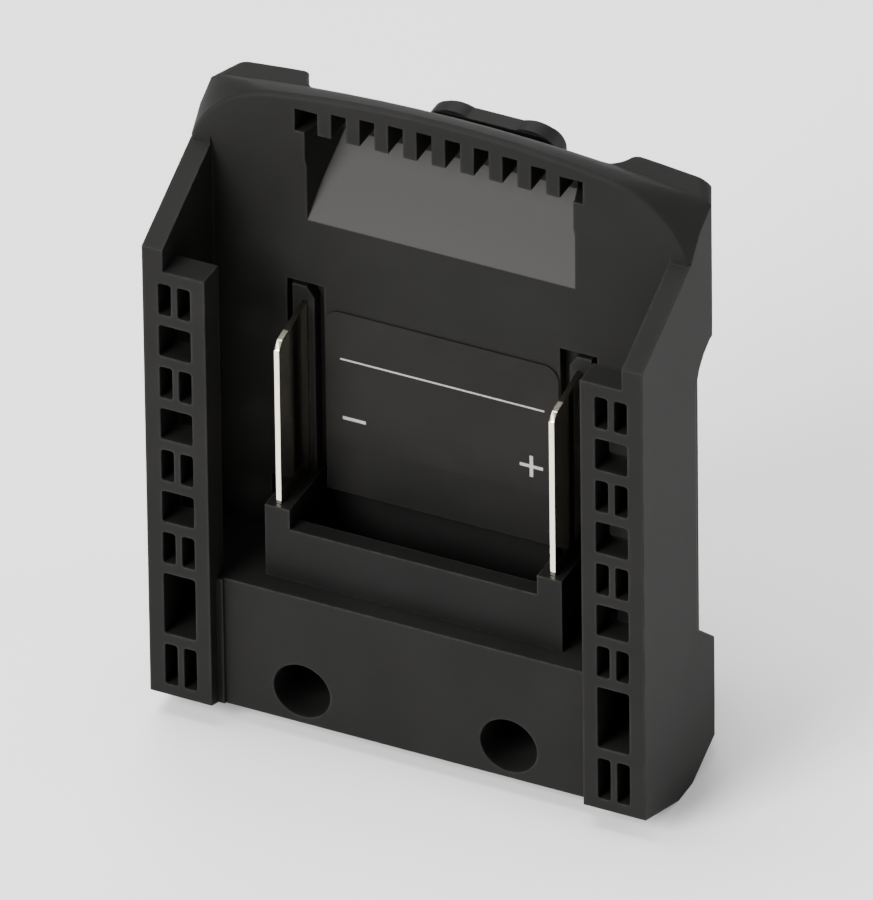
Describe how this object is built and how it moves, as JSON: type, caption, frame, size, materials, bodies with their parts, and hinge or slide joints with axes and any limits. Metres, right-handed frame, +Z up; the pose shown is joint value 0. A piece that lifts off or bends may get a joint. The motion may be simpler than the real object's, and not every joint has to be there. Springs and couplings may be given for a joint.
{
  "type": "tool battery adapter",
  "caption": "Black plastic adapter with slide-on battery rails, blade contacts and a ribbed catch recess in front, and a plug-in block with a sprung release latch behind.",
  "frame": {"origin": "on the base plane, under the middle of the whole adapter", "axes": "+X to the right seen from the battery side, +Y from the battery side towards the tool, +Z up along the rails, the way the battery slides off"},
  "size_m": [0.082, 0.044, 0.1078],
  "materials": {
    "casing_plastic": "black satin moulding with a fine spark texture and worn, brighter edges",
    "block_plastic": "black glass-filled moulding, satin",
    "latch_plastic": "black moulding, polished where a finger presses",
    "nickel_plate": "bright nickel plate with fine rolling lines",
    "label_film": "dark grey printed film, bare",
    "spring_steel": "drawn wire",
    "screw_steel": "zinc plate",
    "board_laminate": "green solder mask",
    "component_black": "black moulded epoxy",
    "capacitor_sleeve": "dark blue shrink sleeve",
    "fuse_plastic": "orange moulded plastic",
    "lead_black": "black insulation",
    "lead_red": "red insulation"
  },
  "bodies": {
    "adapter": {"front_housing": "casing_plastic", "rear_cover": "casing_plastic", "terminal_block": "block_plastic", "blade_negative": "nickel_plate", "blade_positive": "nickel_plate", "rating_label": "label_film", "latch_springs": "spring_steel", "latch_keeper": "block_plastic", "keeper_screws": "screw_steel", "cover_screws": "screw_steel", "well_screws": "screw_steel", "terminal_screws": "screw_steel", "circuit_board": "board_laminate", "board_screws": "screw_steel", "power_transistors": "component_black", "smoothing_capacitor": "capacitor_sleeve", "controller_chip": "component_black", "fuse": "fuse_plastic", "input_lead_negative": "lead_black", "input_lead_positive": "lead_red", "output_lead_negative": "lead_black", "output_lead_positive": "lead_red", "contact_carrier": "block_plastic", "carrier_screws": "screw_steel", "tool_contact_negative": "nickel_plate", "tool_contact_positive": "nickel_plate"},
    "latch": {"release_latch": "latch_plastic"}
  },
  "joints": [
    {"name": "latch_press", "type": "slide", "parent": "adapter", "child": "latch", "axis": [0, 0, -1], "range_m": [0, 0.0028], "stiffness_N_per_m": 800, "springref_m": -0.002, "deforming": ["latch_springs"]}
  ]
}
